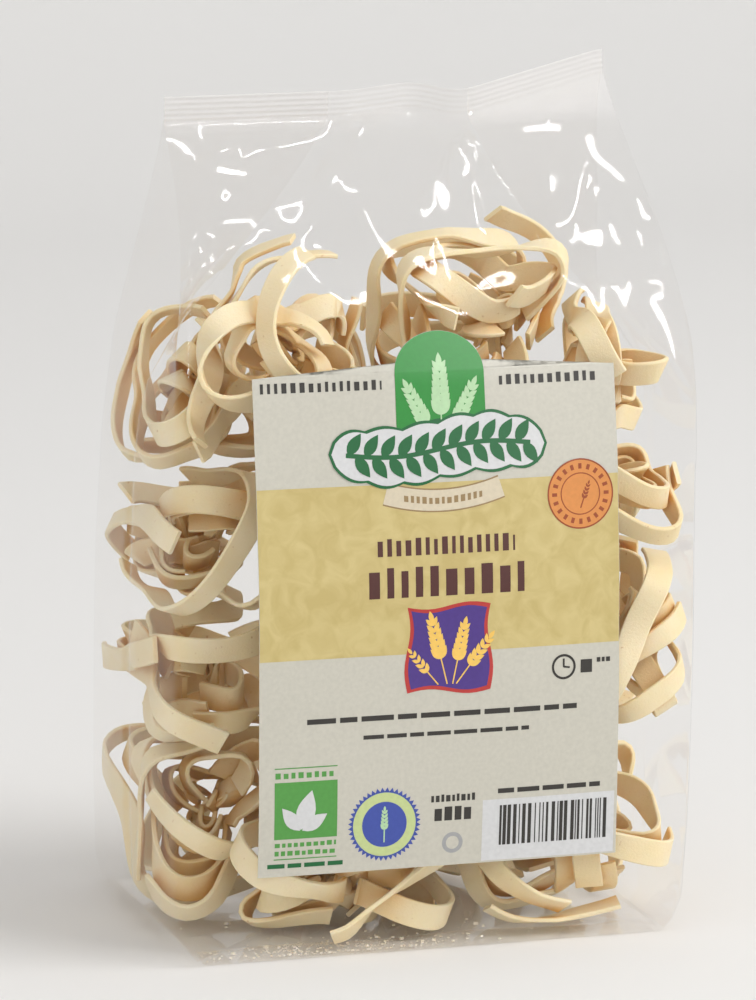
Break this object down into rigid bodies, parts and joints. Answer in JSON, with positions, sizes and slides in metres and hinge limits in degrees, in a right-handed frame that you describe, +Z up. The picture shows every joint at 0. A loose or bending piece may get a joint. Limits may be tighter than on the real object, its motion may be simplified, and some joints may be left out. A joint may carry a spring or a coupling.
{
  "type": "bag of dry pasta nests",
  "caption": "Sealed clear film bag of dried tagliatelle nests, standing on its flat base, with crimped top seal, pleated sides and a paper front label.",
  "frame": {"origin": "on the floor under the middle of the bag", "axes": "+Z up along the bag's height, -Y out of the labelled front, +X to the right of someone facing the label"},
  "size_m": [0.148, 0.096, 0.2325],
  "materials": {
    "film": "clear glossy film",
    "paper": "semi-gloss printed paper",
    "pasta": "matte, floury dried dough"
  },
  "bodies": {
    "root": {"bag": "film", "label": "paper"}
  },
  "joints": []
}
